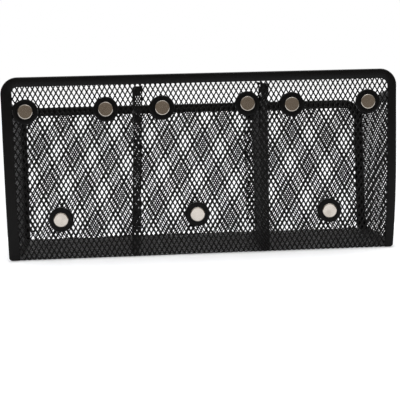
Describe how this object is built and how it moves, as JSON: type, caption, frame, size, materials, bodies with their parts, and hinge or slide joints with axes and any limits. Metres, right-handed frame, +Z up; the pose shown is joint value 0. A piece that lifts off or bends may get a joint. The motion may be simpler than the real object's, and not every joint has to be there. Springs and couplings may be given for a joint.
{
  "type": "magnetic pen holder",
  "caption": "Open pen basket of black steel mesh with dividers, hung on a steel board by round magnets on its tall back panel.",
  "frame": {"origin": "on the surface the holder stands on, under the middle of its width and of its whole depth", "axes": "+X to the right as seen from the magnet side, +Y away from the board towards the room, +Z up"},
  "size_m": [0.306, 0.1048, 0.1415],
  "materials": {
    "black_steel": "semi-gloss black powder coat",
    "mesh_steel": "semi-gloss black powder coat on expanded metal",
    "black_plastic": "fine matte moulding",
    "nickel": "bright nickel plating"
  },
  "bodies": {
    "root": {"back_frame": "black_steel", "back_mesh": "mesh_steel", "front_frame": "black_steel", "front_mesh": "mesh_steel", "floor_mesh": "mesh_steel", "side_mesh_left": "mesh_steel", "side_mesh_right": "mesh_steel", "side_rim_left": "black_steel", "side_rim_right": "black_steel", "divider_mesh_left": "mesh_steel", "divider_mesh_right": "mesh_steel", "divider_rim_left": "black_steel", "divider_rim_right": "black_steel", "magnet_ring_1": "black_plastic", "magnet_ring_2": "black_plastic", "magnet_ring_3": "black_plastic", "magnet_ring_4": "black_plastic", "magnet_ring_5": "black_plastic", "magnet_ring_6": "black_plastic", "magnet_ring_7": "black_plastic", "magnet_ring_8": "black_plastic", "magnet_ring_9": "black_plastic", "magnet_disc_1": "nickel", "magnet_disc_2": "nickel", "magnet_disc_3": "nickel", "magnet_disc_4": "nickel", "magnet_disc_5": "nickel", "magnet_disc_6": "nickel", "magnet_disc_7": "nickel", "magnet_disc_8": "nickel", "magnet_disc_9": "nickel", "magnet_cap_1": "black_plastic", "magnet_cap_2": "black_plastic", "magnet_cap_3": "black_plastic", "magnet_cap_4": "black_plastic", "magnet_cap_5": "black_plastic", "magnet_cap_6": "black_plastic", "magnet_cap_7": "black_plastic", "magnet_cap_8": "black_plastic", "magnet_cap_9": "black_plastic"}
  },
  "joints": []
}
